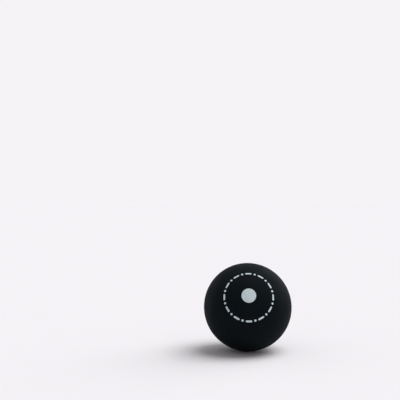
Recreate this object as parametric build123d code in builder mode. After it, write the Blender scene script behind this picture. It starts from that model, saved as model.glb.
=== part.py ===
"""Squash ball: a hollow rubber ball of two moulded half shells, cemented rim to rim and buffed matt.

Millimetres. The origin is the ball's centre and +Z is up. The seam lies in the XZ plane, so the
poles of the front half shell (-Y) and of the rear half shell (+Y) are on the Y axis.
"""

import os
from math import sqrt

from build123d import *

# Driving dimensions
ball_diameter = 40.0
wall = 5.2  # rubber thickness of each half shell
cement_film = 0.12  # dried rubber cement between the two rims
buffed_edge = 0.10  # radius of each rim's outer corner, left by buffing across the seam
rim_bevel = 0.6  # bevel of each rim's inner corner, where squeezed-out cement gathers
bead_height = 0.3  # how far the gathered cement stands out of the inner wall


def radius_at(sphere_radius, height):
    """Distance from the Y axis to a sphere about the origin, at a height along that axis."""
    return sqrt(sphere_radius**2 - height**2)


# Sizes that follow
outer_radius = ball_diameter / 2
inner_radius = outer_radius - wall
rim_height = cement_film / 2
edge_height = rim_height + buffed_edge
bevel_height = rim_height + rim_bevel

# Corners of the wall's section: X is the distance from the axis, Y the height above the seam.
# The rounded edge's centre is one edge radius inside the ball and one above the rim, so the edge
# runs smoothly into both.
edge_centre_radius = radius_at(outer_radius - buffed_edge, edge_height)
edge_to_ball = outer_radius / (outer_radius - buffed_edge)
outer_pole = (0, outer_radius)
edge_start = (edge_centre_radius * edge_to_ball, edge_height * edge_to_ball)
edge_end = (edge_centre_radius, rim_height)
bevel_foot = (radius_at(inner_radius, rim_height) + rim_bevel, rim_height)
bevel_top = (radius_at(inner_radius, bevel_height), bevel_height)
inner_pole = (0, inner_radius)

# Rear half shell: one wall section turned about the axis through its pole
with BuildPart() as rear_half_shell:
    with BuildSketch() as wall_section:
        with BuildLine():
            RadiusArc(outer_pole, edge_start, outer_radius)
            RadiusArc(edge_start, edge_end, buffed_edge)
            Polyline(edge_end, bevel_foot, bevel_top)
            RadiusArc(bevel_top, inner_pole, -inner_radius)
            Line(inner_pole, outer_pole)
        make_face()
    revolve(axis=Axis.Y)

# Front half shell: both halves come out of the same mould
with BuildPart() as front_half_shell:
    mirror(rear_half_shell.part, about=Plane.XZ)

# Seam cement: the film between the rims, and the bead that fills the two bevels inside the ball
with BuildPart() as seam_cement:
    with BuildSketch() as cement_section:
        with BuildLine():
            upper_side = Polyline(edge_end, bevel_foot, bevel_top)
            mirror(upper_side, about=Plane.XZ)
            Line(edge_end, (edge_centre_radius, -rim_height))
            bead_crest = (inner_radius - bead_height, 0)
            ThreePointArc(bevel_top, bead_crest, (bevel_top[0], -bevel_height))
        make_face()
    revolve(axis=Axis.Y)

front_half_shell.part.label = "front_half_shell"
rear_half_shell.part.label = "rear_half_shell"
seam_cement.part.label = "seam_cement"

os.makedirs("parts", exist_ok=True)
export_step(front_half_shell.part, "parts/front_half_shell.step")
export_step(rear_half_shell.part, "parts/rear_half_shell.step")
export_step(seam_cement.part, "parts/seam_cement.step")

for piece in (front_half_shell, rear_half_shell, seam_cement):
    print(piece.part.label, f"{piece.part.volume:.1f} mm3")
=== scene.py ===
# %% [markdown]
# # A squash ball, from frame to finish
# A squash ball is two moulded rubber half shells, cemented rim to rim, buffed matt and then printed.
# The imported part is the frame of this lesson: it says how large the ball is, how thick its wall is and
# where the seam runs. Blender adds what the frame leaves out, which is the skin of the rubber, the ink
# on it, the light and the floor. All lengths are in metres, in the frame's own axes, with +Z up.

# %% Load the frame
from math import cos, pi, radians

import bmesh
import bpy
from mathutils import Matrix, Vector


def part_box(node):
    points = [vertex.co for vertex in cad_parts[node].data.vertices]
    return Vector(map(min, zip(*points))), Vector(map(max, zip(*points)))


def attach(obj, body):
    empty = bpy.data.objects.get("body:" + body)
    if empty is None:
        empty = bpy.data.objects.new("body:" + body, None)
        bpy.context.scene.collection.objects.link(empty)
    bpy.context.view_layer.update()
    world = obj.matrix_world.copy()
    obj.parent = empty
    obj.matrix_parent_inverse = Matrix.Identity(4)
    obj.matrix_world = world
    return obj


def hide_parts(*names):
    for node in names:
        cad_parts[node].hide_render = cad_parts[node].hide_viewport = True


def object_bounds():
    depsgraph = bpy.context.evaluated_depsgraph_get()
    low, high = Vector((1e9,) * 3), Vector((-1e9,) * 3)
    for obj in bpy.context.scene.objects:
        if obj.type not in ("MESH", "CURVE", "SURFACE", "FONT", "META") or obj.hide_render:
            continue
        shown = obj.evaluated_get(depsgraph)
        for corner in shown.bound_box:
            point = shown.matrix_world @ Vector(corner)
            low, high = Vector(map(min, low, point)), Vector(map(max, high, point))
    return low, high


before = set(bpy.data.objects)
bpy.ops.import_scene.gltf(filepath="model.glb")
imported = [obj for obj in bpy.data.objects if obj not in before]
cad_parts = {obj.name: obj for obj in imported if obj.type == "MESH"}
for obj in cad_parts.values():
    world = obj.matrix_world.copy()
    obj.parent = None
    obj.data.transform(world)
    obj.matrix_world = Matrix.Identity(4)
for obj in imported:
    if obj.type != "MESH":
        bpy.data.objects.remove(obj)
cad_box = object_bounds()
print("frame nodes:", sorted(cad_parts))

# %% [markdown]
# ## Sizes that the frame gives
# Typing a size twice invites a mistake, so the sizes of the shells are measured on the frame's own
# meshes. The corner points of such a mesh lie exactly on the true surface, so the farthest and the
# nearest of them from the ball's centre give its two radii.

# %% Measure the shells
mm_per_m = 1000

shell_points = [v.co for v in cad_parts["front_half_shell"].data.vertices]
ball_radius = max(p.length for p in shell_points)
inner_radius = min(p.length for p in shell_points)
wall = ball_radius - inner_radius
print(f"ball {2 * ball_radius * mm_per_m:.2f} mm across, wall {wall * mm_per_m:.2f} mm")

# %% [markdown]
# The seam lies in the XZ plane, so a height above the seam is a distance along Y. Each rim stands half a
# film of cement away from that plane, and inside the ball the cement fills the bevels up to their tops.
# Outside, it stops where the rounded edges of the rims begin. The centre of such an edge is one edge
# radius inside the ball and one above the rim, and that right triangle gives the edge radius.

# %% Measure the seam
rim_height = -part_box("front_half_shell")[1].y
bevel_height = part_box("seam_cement")[1].y
cement_radius = max(v.co.xz.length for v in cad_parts["seam_cement"].data.vertices)
buffed_edge = (ball_radius**2 - rim_height**2 - cement_radius**2) / (2 * (ball_radius + rim_height))
bevel = bevel_height - rim_height
print(f"cement film {2 * rim_height * mm_per_m:.2f} mm, bevel {bevel * mm_per_m:.2f} mm")
print(f"buffed edge {buffed_edge * mm_per_m:.3f} mm")

# %% [markdown]
# ## Camera
# The picture that this scene answers was taken with a level camera, a little above the ball and to its
# left. A camera that aims at the ball would tip down and make upright things lean, so this one stays
# level, and the ball sits low in the frame. The distance sets the perspective, and the lens sets how
# large the ball is.

# %% Make the camera
scene = bpy.context.scene
camera_distance = 0.320
camera_left = 0.0218
camera_height = 0.0489  # above the ball's centre
sensor_mm = 36.0
lens_mm = 62.9

camera_data = bpy.data.cameras.new("camera")
camera_data.sensor_width = sensor_mm
camera_data.lens = lens_mm
camera_data.clip_start = 0.01
camera_data.clip_end = 500
camera = bpy.data.objects.new("camera", camera_data)
camera.location = (-camera_left, -camera_distance, camera_height)
camera.rotation_euler = (radians(90), 0, 0)
scene.collection.objects.link(camera)
scene.camera = camera
print("camera at", [round(c * mm_per_m, 1) for c in camera.location], "mm, lens", lens_mm, "mm")

# %% [markdown]
# ## Floor
# The ball lies on a pale sheet that runs back without an edge. A curved backdrop is the studio's way to
# make one, but it has to be fitted to the view. A floor that reaches the horizon, under a sky of the
# same colour, looks right from every side.

# %% Lay the floor
pale = (0.913, 0.896, 0.921, 1.0)
floor_reach = 100.0
floor_level = cad_box[0].z

corner_signs = ((-1, -1), (1, -1), (1, 1), (-1, 1))
corners = [(x * floor_reach, y * floor_reach, floor_level) for x, y in corner_signs]
floor_mesh = bpy.data.meshes.new("floor")
floor_mesh.from_pydata(corners, [], [(0, 1, 2, 3)])
floor = bpy.data.objects.new("floor", floor_mesh)
scene.collection.objects.link(floor)
print(f"floor at {floor_level * mm_per_m:.2f} mm")

# %% [markdown]
# The sheet is matt paper. A new Principled shader comes with the gloss of plastic, which would mirror
# the sky at the flat angle of this view, so the gloss is taken out. The colour is one plain value,
# because the paper shows no pattern.

# %% Cover the floor with paper
paper = bpy.data.materials.new("floor_paper")
paper.use_nodes = True
paper_shader = paper.node_tree.nodes["Principled BSDF"]
paper_shader.inputs["Base Color"].default_value = pale
paper_shader.inputs["Roughness"].default_value = 1.0
paper_shader.inputs["Specular IOR Level"].default_value = 0.0
floor_mesh.materials.append(paper)
print("floor covered with", paper.name)

# %% [markdown]
# ## Helpers for node trees
# The sky, the finishes and the shapes below are all built from nodes, and each node needs the same three
# steps: add it, set its options, and fill its inputs with a value or with a link from another node. One
# small function does all three. The others are short names for the nodes that come up most, so that the
# cells read like formulas.

# %% Helpers for node trees
node_spacing = 190


def add_node(tree, kind, inputs=None, **options):
    """Adds a node to a tree. Each input gets a plain value, or a link if it is given a socket."""
    node = tree.nodes.new(kind)
    node.location.x = node_spacing * len(tree.nodes)
    for name, value in options.items():
        setattr(node, name, value)
    for name, value in (inputs or {}).items():
        if isinstance(value, bpy.types.NodeSocket):
            tree.links.new(value, node.inputs[name])
        else:
            node.inputs[name].default_value = value
    return node


def result(tree, kind, inputs=None, **options):
    """The first output of a new node."""
    return add_node(tree, kind, inputs, **options).outputs[0]


def calculate(tree, operation, *values):
    """One Math node."""
    return result(tree, "ShaderNodeMath", dict(enumerate(values)), operation=operation)


def spread(tree, value, *limits):
    """One Map Range node. The limits are from min, from max, to min and to max."""
    names = ("From Min", "From Max", "To Min", "To Max")
    return result(tree, "ShaderNodeMapRange", {"Value": value, **dict(zip(names, limits))})


# %% [markdown]
# ## Light
# The sky has the floor's colour, so the two meet with no visible join. A sky that bright would flood the
# ball with light from all sides, so Light Path shows it at full strength only to the camera and to
# mirror-like rays. What it sheds on the ball is a weak fill, whose strength makes up for a sky that is a
# little darker than white. The Standard view shows every colour as it is written, where Blender's usual
# one would grey the white.

# %% Make the pale sky
fill_share = 0.36
pale_level = sum(pale[:3]) / 3
fill_strength = fill_share / pale_level

scene.view_settings.view_transform = "Standard"
world = bpy.data.worlds.new("pale_sky")
world.use_nodes = True
scene.world = world
sky = world.node_tree
rays = add_node(sky, "ShaderNodeLightPath").outputs
seen = calculate(sky, "MAXIMUM", rays["Is Camera Ray"], rays["Is Glossy Ray"])
seen = calculate(sky, "MAXIMUM", seen, rays["Is Transmission Ray"])
backdrop = sky.nodes["Background"]
backdrop.inputs["Color"].default_value = pale
sky.links.new(spread(sky, seen, 0.0, 1.0, fill_strength, 1.0), backdrop.inputs["Strength"])
print(f"the sky gives {fill_share:.2f} of the floor's light")

# %% [markdown]
# Two soft suns give the rest. Area lamps could do it too, but their light falls off with distance, and a
# sun lights the whole floor alike. The key stands high, leaning to the right, so the ball's shadow
# stays close under it. A lower and wider one behind the ball on the right brightens that side of it, and
# because its share is small, the longer shadow that it casts is faint. A sun's strength follows from the
# share of the floor's light that it gives: the further it leans, the stronger it has to be. All shares
# add up to one, so a colour on the floor renders as it is written.

# %% Hang the lights
def add_sun(name, share, lean, turn, width):
    """A sun that gives this share of the floor's light. Turn goes from the camera to the right."""
    light = bpy.data.lights.new(name, "SUN")
    light.angle = width
    light.energy = pi * share / cos(lean)
    sun = bpy.data.objects.new(name, light)
    sun.rotation_euler = (lean, 0, turn)
    scene.collection.objects.link(sun)
    print(f"{name}: {light.energy:.2f} W/m2, {share:.2f} of the floor's light")


side_share = 0.16
key_share = 1 - fill_share - side_share
add_sun("key_light", key_share, lean=radians(22), turn=radians(86), width=radians(45))
add_sun("side_light", side_share, lean=radians(58), turn=radians(125), width=radians(56))

# %% [markdown]
# ## The buffed grain
# Buffing leaves the rubber with a fine tooth that no mould gives, and the ink on it follows that tooth.
# An image of such a grain would need a map onto the ball and would blur close up, so the grain is worked
# out from the place on the ball. All the finishes need it, so it is a shader group with named sockets,
# and each material gives it its own two colours, its own range of roughness and its own sizes.

# %% Start the grain group
def floats(*names):
    """Sockets of these names that hold a number."""
    return dict.fromkeys(names, "Float")


def start_group(name, kind, inputs, outputs):
    """A new node group with named sockets, and the sockets that bring in its inputs."""
    group = bpy.data.node_groups.new(name, kind)
    for in_out, sockets in (("INPUT", inputs), ("OUTPUT", outputs)):
        for socket, socket_kind in sockets.items():
            group.interface.new_socket(socket, in_out=in_out, socket_type="NodeSocket" + socket_kind)
    return group, add_node(group, "NodeGroupInput").outputs


grain, given = start_group(
    "buffed_grain",
    "ShaderNodeTree",
    {"Dark": "Color", "Light": "Color", **floats("Smoothest", "Roughest", "Grain Size", "Cloud Size")},
    {"Color": "Color", **floats("Roughness", "Height")},
)
place = add_node(grain, "ShaderNodeTexCoord").outputs["Object"]
print("buffed_grain takes", [socket.name for socket in given if socket.name])

# %% [markdown]
# Three patterns make the grain. A fine noise is the tooth. A Voronoi pattern gives scattered pores,
# because the distance to the nearest of its centres is small only in a spot around each. A wide, faint
# noise is the cloudiness of a skin that the buffing wheel crossed many times.

# %% Draw the grain's patterns
pores_per_tooth = 0.35

tooth_scale = calculate(grain, "DIVIDE", 1.0, given["Grain Size"])
tooth_inputs = {"Vector": place, "Scale": tooth_scale, "Detail": 3.0, "Roughness": 0.6}
tooth = result(grain, "ShaderNodeTexNoise", tooth_inputs)
pore_scale = calculate(grain, "MULTIPLY", tooth_scale, pores_per_tooth)
pore_distance = result(grain, "ShaderNodeTexVoronoi", {"Vector": place, "Scale": pore_scale})
cloud_scale = calculate(grain, "DIVIDE", 1.0, given["Cloud Size"])
cloud = result(grain, "ShaderNodeTexNoise", {"Vector": place, "Scale": cloud_scale})
print("buffed_grain has", len(grain.nodes), "nodes so far")

# %% [markdown]
# The tooth and the pores make the height. The tooth and the clouds make the tone, which picks a colour
# between the two that are given: where the skin is paler, it is rougher too. The Mix node has the same
# socket names for every kind of value, so its colour sockets are picked by their numbers.

# %% Close the grain group
tooth_share = 0.55
pore_reach = 0.22
pore_depth = 0.5
tone_limits = (0.35, 0.65)
mix_factor = 0
mix_start = 6
mix_end = 7
mix_result = 2

pore = spread(grain, pore_distance, 0.0, pore_reach, 1.0, 0.0)
height = calculate(grain, "MULTIPLY_ADD", pore, -pore_depth, tooth)
tone = calculate(grain, "MULTIPLY", cloud, 1 - tooth_share)
tone = calculate(grain, "MULTIPLY_ADD", tooth, tooth_share, tone)
tone = spread(grain, tone, *tone_limits, 0.0, 1.0)
mix_inputs = {mix_factor: tone, mix_start: given["Dark"], mix_end: given["Light"]}
colour = add_node(grain, "ShaderNodeMix", mix_inputs, data_type="RGBA").outputs[mix_result]
roughness = spread(grain, tone, 0.0, 1.0, given["Smoothest"], given["Roughest"])
add_node(grain, "NodeGroupOutput", {"Color": colour, "Roughness": roughness, "Height": height})
print("buffed_grain has", len(grain.nodes), "nodes")

# %% [markdown]
# ## Finishes
# One function makes a material around the grain group. The colour, the roughness and the height change
# over the surface, so they are linked to the shader. The gloss and its tint are the same all over, so
# they are set on the shader itself, where an export can read them.

# %% Helper that makes a finish
white = (1.0, 1.0, 1.0, 1.0)


def grained_material(name, bump_height, gloss, gleam, **grain_values):
    """A material whose colour, roughness and bump come from the grain group."""
    material = bpy.data.materials.new(name)
    material.use_nodes = True
    tree = material.node_tree
    skin = add_node(tree, "ShaderNodeGroup", node_tree=grain)
    for socket, value in grain_values.items():
        skin.inputs[socket.replace("_", " ").title()].default_value = value
    bump_inputs = {"Height": skin.outputs["Height"], "Distance": bump_height}
    shader = tree.nodes["Principled BSDF"]
    shader.inputs["Specular IOR Level"].default_value = gloss
    shader.inputs["Specular Tint"].default_value = gleam
    tree.links.new(skin.outputs["Color"], shader.inputs["Base Color"])
    tree.links.new(skin.outputs["Roughness"], shader.inputs["Roughness"])
    tree.links.new(result(tree, "ShaderNodeBump", bump_inputs), shader.inputs["Normal"])
    print(f"{name}: roughness {grain_values['smoothest']:.2f} to {grain_values['roughest']:.2f}")
    return material


# %% [markdown]
# ### Buffed rubber
# The rubber is filled with carbon black, which swallows nearly all the light. What the eye sees is a
# dull, slightly cold gleam that grows towards the edge of the ball. A dark grey colour would make it
# look chalky, so the colour is almost black, and a weak, wide gloss does the rest.

# %% Finish for the shells
matt_rubber = grained_material(
    "buffed_rubber",
    bump_height=0.00009,
    gloss=0.05,
    gleam=(0.80, 0.95, 1.0, 1.0),
    dark=(0.0023, 0.0037, 0.0045, 1.0),
    light=(0.0043, 0.0069, 0.0085, 1.0),
    smoothest=0.60,
    roughest=0.84,
    grain_size=0.00035,
    cloud_size=0.006,
)

# %% [markdown]
# ### Print ink
# The ink is a dull white, and a pure white would look like a sticker. So thin a film lets some of the
# black through, which makes it a cool, light grey. It fills the tooth of the rubber in part, so its
# bump is lower and its tone uneven.

# %% Finish for the print
white_ink = grained_material(
    "pad_print_ink",
    bump_height=0.00003,
    gloss=0.25,
    gleam=white,
    dark=(0.53, 0.62, 0.64, 1.0),
    light=(0.66, 0.77, 0.80, 1.0),
    smoothest=0.50,
    roughest=0.68,
    grain_size=0.00035,
    cloud_size=0.004,
)

# %% [markdown]
# ### Dried cement
# The cement is the same kind of rubber, dried from a solution. With the shells' own finish the seam
# would hardly show. But the wheel doesn't reach the bottom of the seam, so the cement keeps a faint
# gloss and a slightly brown tone, and its grain is coarse and low.

# %% Finish for the seam
rubber_cement = grained_material(
    "dried_cement",
    bump_height=0.00002,
    gloss=0.08,
    gleam=white,
    dark=(0.0042, 0.0040, 0.0038, 1.0),
    light=(0.0068, 0.0064, 0.0060, 1.0),
    smoothest=0.40,
    roughest=0.54,
    grain_size=0.0005,
    cloud_size=0.003,
)

# %% [markdown]
# ## The relief of the skin
# Bump only bends the light, and a shape that shows should be real, so the larger unevenness of the skin
# is modelled: about a hundredth of a millimetre, swelling and sinking over a millimetre or two. The
# shells and the ink share it, as ink does that is pressed onto rubber. So it is a Geometry Nodes group
# of its own, which turns a place into a small step away from the ball's centre. It works with points
# in space, and these four helpers are short names for the nodes that do.

# %% Helpers for points in space
def vector(tree, operation, *values, **named):
    """One Vector Math node."""
    inputs = {**dict(enumerate(values)), **named}
    return result(tree, "ShaderNodeVectorMath", inputs, operation=operation)


def length(tree, point):
    """How far a point is from the origin."""
    return add_node(tree, "ShaderNodeVectorMath", {0: point}, operation="LENGTH").outputs["Value"]


def combine(tree, **axes):
    """A point from its X, Y and Z. An axis that isn't given is zero."""
    return result(tree, "ShaderNodeCombineXYZ", axes)


def separate(tree, point):
    """The X, Y and Z of a point."""
    return add_node(tree, "ShaderNodeSeparateXYZ", {0: point}).outputs


# %% [markdown]
# The relief belongs to the outer skin alone. It fades out with the depth below the ball's radius, which
# leaves the inner wall and the sunk roots of the ink as they are, and towards the seam, because the rims
# were ground true before they were joined.

# %% Find the outer skin
skin_depths = (0.00002, 0.0001)
ground_width = 0.0012

relief, given = start_group(
    "buffed_relief",
    "GeometryNodeTree",
    floats("Ball Radius", "Relief Height", "Relief Size", "Seed"),
    {"Offset": "Vector"},
)
place = result(relief, "GeometryNodeInputPosition")
depth = calculate(relief, "SUBTRACT", given["Ball Radius"], length(relief, place))
from_seam = calculate(relief, "ABSOLUTE", separate(relief, place)["Y"])
off_seam = spread(relief, from_seam, 0.0, ground_width, 0.0, 1.0)
on_skin = calculate(relief, "MULTIPLY", spread(relief, depth, *skin_depths, 1.0, 0.0), off_seam)
print("buffed_relief has", len(relief.nodes), "nodes so far")

# %% [markdown]
# The swelling itself is a soft noise. Its fourth dimension is the seed: another number gives another
# skin, and the same number always the same one. The noise runs from zero to one, so it is spread to run
# as far below the true surface as above it, and the ball keeps its size.

# %% Swell the skin
noise_inputs = {
    "Vector": place,
    "W": given["Seed"],
    "Scale": calculate(relief, "DIVIDE", 1.0, given["Relief Size"]),
    "Detail": 1.5,
}
swell = result(relief, "ShaderNodeTexNoise", noise_inputs, noise_dimensions="4D")
swell = spread(relief, swell, 0.0, 1.0, -1.0, 1.0)
step = calculate(relief, "MULTIPLY", swell, given["Relief Height"])
step = calculate(relief, "MULTIPLY", step, on_skin)
outwards = vector(relief, "NORMALIZE", place)
add_node(relief, "NodeGroupOutput", {"Offset": vector(relief, "SCALE", outwards, Scale=step)})
print("buffed_relief has", len(relief.nodes), "nodes")

# %% [markdown]
# ## One wall of a half shell
# A sphere of meridians pinches at its poles, and this ball's pole faces the camera. A cube that is
# blown up to a ball has even squares everywhere, so each wall starts as the lower half of a cube's
# surface, cut into squares. Cells counts them from the middle of a side to its edge, so that one row
# ends at half height. A plain cube would give large squares in the middle of its sides and small ones
# at its corners, and taking the tangent first makes them equal in angle.

# %% Point the half cube's squares
bowl, given = start_group(
    "bowl_wall",
    "GeometryNodeTree",
    {"Cells": "Int", **floats("Radius", "Brim Depth")},
    {"Mesh": "Geometry"},
)
per_side = calculate(bowl, "MULTIPLY_ADD", given["Cells"], 2.0, 1.0)
cube_inputs = {"Size": (2, 2, 2), **dict.fromkeys(("Vertices X", "Vertices Y", "Vertices Z"), per_side)}
cube = result(bowl, "GeometryNodeMeshCube", cube_inputs)
place = result(bowl, "GeometryNodeInputPosition")
upper = calculate(bowl, "GREATER_THAN", separate(bowl, place)["Z"], 0.0)
cut_inputs = {"Geometry": cube, "Selection": upper}
half_cube = result(bowl, "GeometryNodeDeleteGeometry", cut_inputs, domain="FACE")
evened = vector(bowl, "TANGENT", vector(bowl, "SCALE", place, Scale=pi / 4))
direction = separate(bowl, vector(bowl, "NORMALIZE", evened))
print("bowl_wall has", len(bowl.nodes), "nodes so far")

# %% [markdown]
# The wall is a bowl, pole down. Each point keeps its compass direction, and its angle below the level is
# spread so that the brim ends where the rim takes over, a little below the seam.

# %% Blow up the bowl
brim_sine = calculate(bowl, "DIVIDE", given["Brim Depth"], given["Radius"])
brim_angle = calculate(bowl, "ARCSINE", brim_sine)
angle = calculate(bowl, "ARCSINE", calculate(bowl, "MULTIPLY", direction["Z"], -1.0))
angle = spread(bowl, angle, 0.0, pi / 2, brim_angle, pi / 2)
reach = calculate(bowl, "MULTIPLY", given["Radius"], calculate(bowl, "COSINE", angle))
sunk = calculate(bowl, "MULTIPLY", given["Radius"], calculate(bowl, "SINE", angle))
compass = vector(bowl, "NORMALIZE", combine(bowl, X=direction["X"], Y=direction["Y"]))
down = combine(bowl, Z=calculate(bowl, "MULTIPLY", sunk, -1.0))
blown = vector(bowl, "ADD", vector(bowl, "SCALE", compass, Scale=reach), down)
bowl_mesh = result(bowl, "GeometryNodeSetPosition", {"Geometry": half_cube, "Position": blown})
add_node(bowl, "NodeGroupOutput", {"Mesh": bowl_mesh})
print("bowl_wall has", len(bowl.nodes), "nodes")

# %% [markdown]
# ## The half shell
# A half shell is two such walls, one turned inside out, with a rim between them. The frame's own mesh
# has this shape too, but its large triangles can't carry the relief, so the shell is made again from
# the sizes measured above. Both halves come out of the same mould, so one tree makes both, each turned
# to its own side of the seam. The first step gives the tree its named inputs.

# %% Start the half shell tree
shell, given = start_group(
    "half_shell",
    "GeometryNodeTree",
    {
        **floats("Ball Radius", "Inner Radius", "Rim Height", "Bevel Height", "Buffed Edge"),
        **floats("Turn", "Relief Height", "Relief Size", "Seed"),
        "Edge Steps": "Int",
        "Cells": "Int",
        "Material": "Material",
    },
    {"Geometry": "Geometry"},
)
print("half_shell takes", [socket.name for socket in given if socket.name])

# %% [markdown]
# The rim is a lathe job, so it needs a section: the bevel inside, the flat face and the rounded edge
# outside. X is the distance from the axis through the pole, and Y the height above the seam. Its corners
# lie on the two spheres, so right triangles give them.

# %% Work out the rim's corners
def leg(tree, hypotenuse, other_leg):
    """The missing leg of a right triangle."""
    square = calculate(tree, "MULTIPLY", hypotenuse, hypotenuse)
    other_square = calculate(tree, "MULTIPLY", other_leg, other_leg)
    return calculate(tree, "SQRT", calculate(tree, "SUBTRACT", square, other_square))


rim_y = given["Rim Height"]
bevel_y = given["Bevel Height"]
edge_y = calculate(shell, "ADD", rim_y, given["Buffed Edge"])
edge_sphere = calculate(shell, "SUBTRACT", given["Ball Radius"], given["Buffed Edge"])
edge_x = leg(shell, edge_sphere, edge_y)
bevel_width = calculate(shell, "SUBTRACT", bevel_y, rim_y)
foot_x = calculate(shell, "ADD", leg(shell, given["Inner Radius"], rim_y), bevel_width)
bevel_top = combine(shell, X=leg(shell, given["Inner Radius"], bevel_y), Y=bevel_y)
bevel_foot = combine(shell, X=foot_x, Y=rim_y)
edge_foot = combine(shell, X=edge_x, Y=rim_y)
edge_centre = combine(shell, X=edge_x, Y=edge_y)
print("half_shell has", len(shell.nodes), "nodes so far")

# %% [markdown]
# The section is swept once around a circle. Curve to Mesh takes a section around its own origin, so it
# is first shifted in by the circle's radius. The circle has as many points as the brim of a wall, which
# lets the rim be welded to both walls point by point. A brim has four sides, and each side has twice
# as many squares as Cells says.

# %% Turn the rim
brim_sides = 4
squares_per_cell = 2


def join(tree, *pieces):
    """Several pieces of geometry as one."""
    joined = add_node(tree, "GeometryNodeJoinGeometry")
    for piece in pieces:
        tree.links.new(piece, joined.inputs[0])
    return joined.outputs[0]


edge_sine = calculate(shell, "DIVIDE", edge_y, edge_sphere)
edge_inputs = {
    "Resolution": given["Edge Steps"],
    "Radius": given["Buffed Edge"],
    "Start Angle": -pi / 2,
    "Sweep Angle": calculate(shell, "ADD", calculate(shell, "ARCSINE", edge_sine), pi / 2),
}
bevel_line = result(shell, "GeometryNodeCurvePrimitiveLine", {"Start": bevel_top, "End": bevel_foot})
rim_line = result(shell, "GeometryNodeCurvePrimitiveLine", {"Start": bevel_foot, "End": edge_foot})
edge_arc = result(shell, "GeometryNodeCurveArc", edge_inputs, mode="RADIUS")
edge_arc = result(shell, "GeometryNodeTransform", {"Geometry": edge_arc, "Translation": edge_centre})
section = join(shell, bevel_line, rim_line, edge_arc)
inset = combine(shell, X=calculate(shell, "MULTIPLY", given["Ball Radius"], -1.0))
section = result(shell, "GeometryNodeTransform", {"Geometry": section, "Translation": inset})
brim_points = calculate(shell, "MULTIPLY", given["Cells"], brim_sides * squares_per_cell)
circle_inputs = {"Resolution": brim_points, "Radius": given["Ball Radius"]}
circle = result(shell, "GeometryNodeCurvePrimitiveCircle", circle_inputs)
rim = result(shell, "GeometryNodeCurveToMesh", {"Curve": circle, "Profile Curve": section})
print("half_shell has", len(shell.nodes), "nodes so far")

# %% [markdown]
# Merging points that lie within a few thousandths of a millimetre welds the walls and the rim into one
# closed solid. The outer wall ends where the rounded edge begins, and the inner one at the bevel's top.

# %% Weld the shell
weld_distance = 0.000002

brim_depth = calculate(shell, "MULTIPLY", edge_sine, given["Ball Radius"])
outer_inputs = {"Cells": given["Cells"], "Radius": given["Ball Radius"], "Brim Depth": brim_depth}
outer_wall = result(shell, "GeometryNodeGroup", outer_inputs, node_tree=bowl)
inner_inputs = {"Cells": given["Cells"], "Radius": given["Inner Radius"], "Brim Depth": bevel_y}
inner_wall = result(shell, "GeometryNodeGroup", inner_inputs, node_tree=bowl)
lining = result(shell, "GeometryNodeFlipFaces", {"Mesh": inner_wall})
solid = join(shell, outer_wall, lining, rim)
solid = result(shell, "GeometryNodeMergeByDistance", {"Geometry": solid, "Distance": weld_distance})
print("half_shell has", len(shell.nodes), "nodes so far")

# %% [markdown]
# The bowl is turned until its pole points to its side of the seam. Then the skin gets its relief, and
# the corners of the bevel and the rim are marked as sharp, so that the smooth shading stops there.

# %% Finish the shell
sharp_angle = radians(35)
relief_names = ("Ball Radius", "Relief Height", "Relief Size", "Seed")

turn = combine(shell, X=given["Turn"])
solid = result(shell, "GeometryNodeTransform", {"Geometry": solid, "Rotation": turn})
skin_inputs = {name: given[name] for name in relief_names}
skin = result(shell, "GeometryNodeGroup", skin_inputs, node_tree=relief)
solid = result(shell, "GeometryNodeSetPosition", {"Geometry": solid, "Offset": skin})
corner_angle = result(shell, "GeometryNodeInputMeshEdgeAngle")
corner = calculate(shell, "GREATER_THAN", corner_angle, sharp_angle)
sharp_inputs = {"Geometry": solid, "Selection": corner, "Shade Smooth": False}
solid = result(shell, "GeometryNodeSetShadeSmooth", sharp_inputs, domain="EDGE")
solid = result(shell, "GeometryNodeRealizeInstances", {"Geometry": solid})
solid = result(shell, "GeometryNodeSetMaterial", {"Geometry": solid, "Material": given["Material"]})
add_node(shell, "NodeGroupOutput", {"Geometry": solid})
print("half_shell has", len(shell.nodes), "nodes")

# %% [markdown]
# ## Growing a piece from a tree
# A modifier runs a tree, and each of its inputs is set by the socket's identifier, before Blender first
# works the object out. The export keeps plain meshes only, so the result is copied into a mesh and the
# modifier goes. Counting open edges and taking the volume shows that the weld is closed, and a volume
# above zero says that the faces point outwards.

# %% Helper that grows a piece
def grow(name, tree, **values):
    """A new object at the origin, with the mesh that a Geometry Nodes tree makes from these values."""
    piece = bpy.data.objects.new(name, bpy.data.meshes.new(name))
    scene.collection.objects.link(piece)
    modifier = piece.modifiers.new(tree.name, "NODES")
    modifier.node_group = tree
    for socket in tree.interface.items_tree:
        if socket.in_out == "INPUT":
            modifier[socket.identifier] = values[socket.name.lower().replace(" ", "_")]
    evaluated = piece.evaluated_get(bpy.context.evaluated_depsgraph_get())
    piece.data = bpy.data.meshes.new_from_object(evaluated)
    piece.modifiers.clear()
    piece.data.name = name
    measure(piece)
    return piece


def measure(piece):
    """Prints a piece's triangles, open edges and volume."""
    solid = bmesh.new()
    solid.from_mesh(piece.data)
    open_edges = sum(not edge.is_manifold for edge in solid.edges)
    volume = solid.calc_volume(signed=True) * mm_per_m**3
    triangles = len(solid.calc_loop_triangles())
    solid.free()
    print(f"{piece.name}: {triangles} triangles, {open_edges} open edges, {volume:.1f} mm3")


# %% [markdown]
# The two shells take the frame's sizes, and both have the same skin values, so that the ink can use
# them again. Quarter turns in opposite directions send one pole to the front and the other to the rear.
# The squares are as fine as the relief needs, about a third of a millimetre wide.

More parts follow.
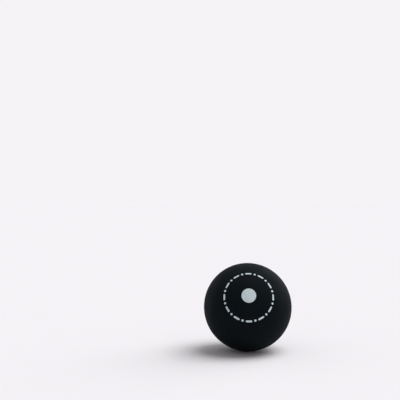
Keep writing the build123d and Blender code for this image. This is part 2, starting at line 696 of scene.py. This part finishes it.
# %% Grow the two half shells
skin_values = {"relief_height": 0.000008, "relief_size": 0.0016, "seed": 4.0}
shell_values = {
    "ball_radius": ball_radius,
    "inner_radius": inner_radius,
    "rim_height": rim_height,
    "bevel_height": bevel_height,
    "buffed_edge": buffed_edge,
    "edge_steps": 7,
    "cells": 56,
    "material": matt_rubber,
    **skin_values,
}
front_shell = grow("front_rubber_shell", shell, turn=radians(-90), **shell_values)
rear_shell = grow("rear_rubber_shell", shell, turn=radians(90), **shell_values)

# %% [markdown]
# ## One mark of the print
# The ball carries a white print on its upper front. Pad printing lays down a film of ink thinner than a
# hair. A pattern in the rubber's material could show it, but the film's edge catches the light, so each
# mark is a closed solid with a sloping border, and its root is sunk in the rubber. A dot is a dash with
# no straight part, so one group draws both: its points run in lanes around a short line, as a stadium's
# lanes run around its field. The lanes start as a flat square grid about the origin, one side along the
# lanes and one across. Half a side is added to its places, so that lanes and laps count from zero to one.
# Each lap starts half a step on, so that no point falls between the two half circles of a dash.

# %% Count off the lanes
grid_side = 1.0
almost_one = 0.999

mark, given = start_group(
    "ink_mark",
    "GeometryNodeTree",
    {**floats("Length", "Width", "Film", "Root", "Border"), "Lanes": "Int", "Points": "Int"},
    {"Mesh": "Geometry"},
)
grid_inputs = {
    "Size X": grid_side,
    "Size Y": grid_side,
    "Vertices X": calculate(mark, "ADD", given["Lanes"], 1.0),
    "Vertices Y": calculate(mark, "ADD", given["Points"], 1.0),
}
sheet = result(mark, "GeometryNodeMeshGrid", grid_inputs)
on_grid = separate(mark, result(mark, "GeometryNodeInputPosition"))
lane = calculate(mark, "ADD", on_grid["X"], grid_side / 2)
last_lane = calculate(mark, "GREATER_THAN", lane, almost_one)
half_step = calculate(mark, "DIVIDE", grid_side / 2, given["Points"])
lap = calculate(mark, "ADD", on_grid["Y"], grid_side / 2)
lap = calculate(mark, "ADD", lap, half_step)
lap_angle = calculate(mark, "MULTIPLY", lap, 2 * pi)
print("ink_mark has", len(mark.nodes), "nodes so far")

# %% [markdown]
# A point's lane says how far it is from the middle line, and its lap how far round it is. The two half
# circles of a lane are moved apart by the straight part. The last lane is the border's foot: it lies one
# border width outside the lane before it.

# %% Run the lanes
half_width = calculate(mark, "MULTIPLY", given["Width"], 0.5)
inner_width = calculate(mark, "SUBTRACT", half_width, given["Border"])
inner_count = calculate(mark, "SUBTRACT", given["Lanes"], 1.0)
inner_lanes = calculate(mark, "DIVIDE", inner_count, given["Lanes"])
out = spread(mark, lane, 0.0, inner_lanes, 0.0, inner_width)
out = calculate(mark, "MULTIPLY_ADD", last_lane, given["Border"], out)
straight = calculate(mark, "SUBTRACT", given["Length"], given["Width"])
half_straight = calculate(mark, "MULTIPLY", straight, 0.5)
cosine = calculate(mark, "COSINE", lap_angle)
along = calculate(mark, "MULTIPLY", calculate(mark, "SIGN", cosine), half_straight)
along = calculate(mark, "MULTIPLY_ADD", out, cosine, along)
across = calculate(mark, "MULTIPLY", out, calculate(mark, "SINE", lap_angle))
print("ink_mark has", len(mark.nodes), "nodes so far")

# %% [markdown]
# The same grid is laid twice: as the film's top, whose last lane drops to the root, and upside down as
# the root. Welding them closes the film, and one more division lets it bend round the ball.

# %% Close the film
root_level = calculate(mark, "MULTIPLY", given["Root"], -1.0)
thickness = calculate(mark, "ADD", given["Film"], given["Root"])
drop = calculate(mark, "MULTIPLY", last_lane, thickness)
top_level = calculate(mark, "SUBTRACT", given["Film"], drop)
top_place = combine(mark, X=along, Y=across, Z=top_level)
root_place = combine(mark, X=along, Y=across, Z=root_level)
top = result(mark, "GeometryNodeSetPosition", {"Geometry": sheet, "Position": top_place})
root = result(mark, "GeometryNodeSetPosition", {"Geometry": sheet, "Position": root_place})
film = join(mark, top, result(mark, "GeometryNodeFlipFaces", {"Mesh": root}))
film = result(mark, "GeometryNodeMergeByDistance", {"Geometry": film, "Distance": weld_distance})
film = result(mark, "GeometryNodeSubdivideMesh", {"Mesh": film, "Level": 1})
add_node(mark, "NodeGroupOutput", {"Mesh": film})
print("ink_mark has", len(mark.nodes), "nodes")

# %% [markdown]
# ## The print
# The print is plain: a dot inside a closed ring of dashes and small dots. It could be drawn straight on
# the sphere, but a flat layout is easier to read and change, so the marks are laid out flat first,
# around the layout's own centre.

# %% Start the print tree
layout, given = start_group(
    "pad_print",
    "GeometryNodeTree",
    {
        **floats("Ball Radius", "Dot Width", "Ring Reach", "Dash Length", "Dash Width", "Point Width"),
        **floats("Film", "Root", "Border", "Tilt", "Turn", "Relief Height", "Relief Size", "Seed"),
        "Dash Count": "Int",
        "Material": "Material",
    },
    {"Geometry": "Geometry"},
)
print("pad_print takes", [socket.name for socket in given if socket.name])

# %% [markdown]
# Three kinds of mark are enough: the dot, a dash and a small dot. Each is one use of the ink mark group
# with its own sizes, and all share the film's thickness and border. The big dot has more lanes and
# points, because it has to bend further round the ball.

# %% Make the three marks
def add_mark(length, width, lanes, points):
    """A flat ink mark in the print's layout."""
    film_inputs = {name: given[name] for name in ("Film", "Root", "Border")}
    size_inputs = {"Length": length, "Width": width, "Lanes": lanes, "Points": points}
    inputs = {**size_inputs, **film_inputs}
    return result(layout, "GeometryNodeGroup", inputs, node_tree=mark)


dot = add_mark(given["Dot Width"], given["Dot Width"], lanes=12, points=64)
dash = add_mark(given["Dash Length"], given["Dash Width"], lanes=3, points=24)
point = add_mark(given["Point Width"], given["Point Width"], lanes=3, points=24)
print("pad_print has", len(layout.nodes), "nodes so far")

# %% [markdown]
# Instances put the dashes on the points of a circle, each turned to run along it, and the small dots on
# the same circle turned by half a step, so that each falls in a gap.

# %% Set out the ring
ring_inputs = {"Vertices": given["Dash Count"], "Radius": given["Ring Reach"]}
ring = result(layout, "GeometryNodeMeshCircle", ring_inputs)
flat = separate(layout, result(layout, "GeometryNodeInputPosition"))
heading = calculate(layout, "ADD", calculate(layout, "ARCTAN2", flat["Y"], flat["X"]), pi / 2)
dash_places = {"Points": ring, "Instance": dash, "Rotation": combine(layout, Z=heading)}
dashes = result(layout, "GeometryNodeInstanceOnPoints", dash_places)
half_step = combine(layout, Z=calculate(layout, "DIVIDE", pi, given["Dash Count"]))
gaps = result(layout, "GeometryNodeTransform", {"Geometry": ring, "Rotation": half_step})
points = result(layout, "GeometryNodeInstanceOnPoints", {"Points": gaps, "Instance": point})
marks = result(layout, "GeometryNodeRealizeInstances", {"Geometry": join(layout, dot, dashes, points)})
print("pad_print has", len(layout.nodes), "nodes so far")

# %% [markdown]
# Then the layout is wrapped: a mark's flat distance from the centre becomes an arc of the same length
# on the ball, so the ring keeps its size. Two turns bring the centre up and round to its place, and the
# relief group presses the film into the same skin that the shells have.

# %% Wrap the print round the ball
spoke = combine(layout, X=flat["X"], Y=flat["Y"])
arc = calculate(layout, "DIVIDE", length(layout, spoke), given["Ball Radius"])
up = combine(layout, Z=calculate(layout, "COSINE", arc))
arc_sine = calculate(layout, "SINE", arc)
aside = vector(layout, "SCALE", vector(layout, "NORMALIZE", spoke), Scale=arc_sine)
lifted = calculate(layout, "ADD", given["Ball Radius"], flat["Z"])
wrapped = vector(layout, "SCALE", vector(layout, "ADD", up, aside), Scale=lifted)
ink = result(layout, "GeometryNodeSetPosition", {"Geometry": marks, "Position": wrapped})
tip = calculate(layout, "SUBTRACT", pi / 2, given["Tilt"])
turns = combine(layout, X=tip, Z=given["Turn"])
ink = result(layout, "GeometryNodeTransform", {"Geometry": ink, "Rotation": turns})
skin_inputs = {name: given[name] for name in relief_names}
skin = result(layout, "GeometryNodeGroup", skin_inputs, node_tree=relief)
ink = result(layout, "GeometryNodeSetPosition", {"Geometry": ink, "Offset": skin})
ink = result(layout, "GeometryNodeRealizeInstances", {"Geometry": ink})
ink = result(layout, "GeometryNodeSetMaterial", {"Geometry": ink, "Material": given["Material"]})
add_node(layout, "NodeGroupOutput", {"Geometry": ink})
print("pad_print has", len(layout.nodes), "nodes")

# %% [markdown]
# The tree is ready, and its sizes are set in one place, where they are easy to try out. The tilt lifts
# the print's centre above the level of the ball's own, and the turn moves it a little to the left, as
# a printed ball that was put down by hand would lie.

# %% Print the ball
print_values = {
    "ball_radius": ball_radius,
    "dot_width": 0.0064,
    "ring_reach": 0.0112,
    "dash_count": 12,
    "dash_length": 0.0030,
    "dash_width": 0.0009,
    "point_width": 0.0011,
    "film": 0.00003,
    "root": 0.00003,
    "border": 0.00006,
    "tilt": radians(22.7),
    "turn": radians(-2.2),
    "material": white_ink,
    **skin_values,
}
ball_print = grow("white_print", layout, **print_values)

# %% [markdown]
# ## Seam cement
# The cement already has its true shape in the frame: a film between the rims, with a bead inside the
# ball. Only its edge shows, at the bottom of the fine groove where the buffed rims meet. Making it again
# would gain nothing, so the frame's own piece stays and gets a better finish.

# %% Finish the cement
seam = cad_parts["seam_cement"]
seam.material_slots[0].material = rubber_cement
print("seam cement finished with", seam.material_slots[0].material.name)

# %% [markdown]
# ## Hand over
# The ball is one rigid body, so every new piece rides on it. Each shell stands for the frame's half of
# the same side, so that half is hidden.

# %% Ride and replace
slots = {front_shell: "matt_rubber", rear_shell: "matt_rubber", ball_print: "white_ink"}
for piece, slot in slots.items():
    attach(piece, "root")
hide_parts("front_half_shell")
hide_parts("rear_half_shell")
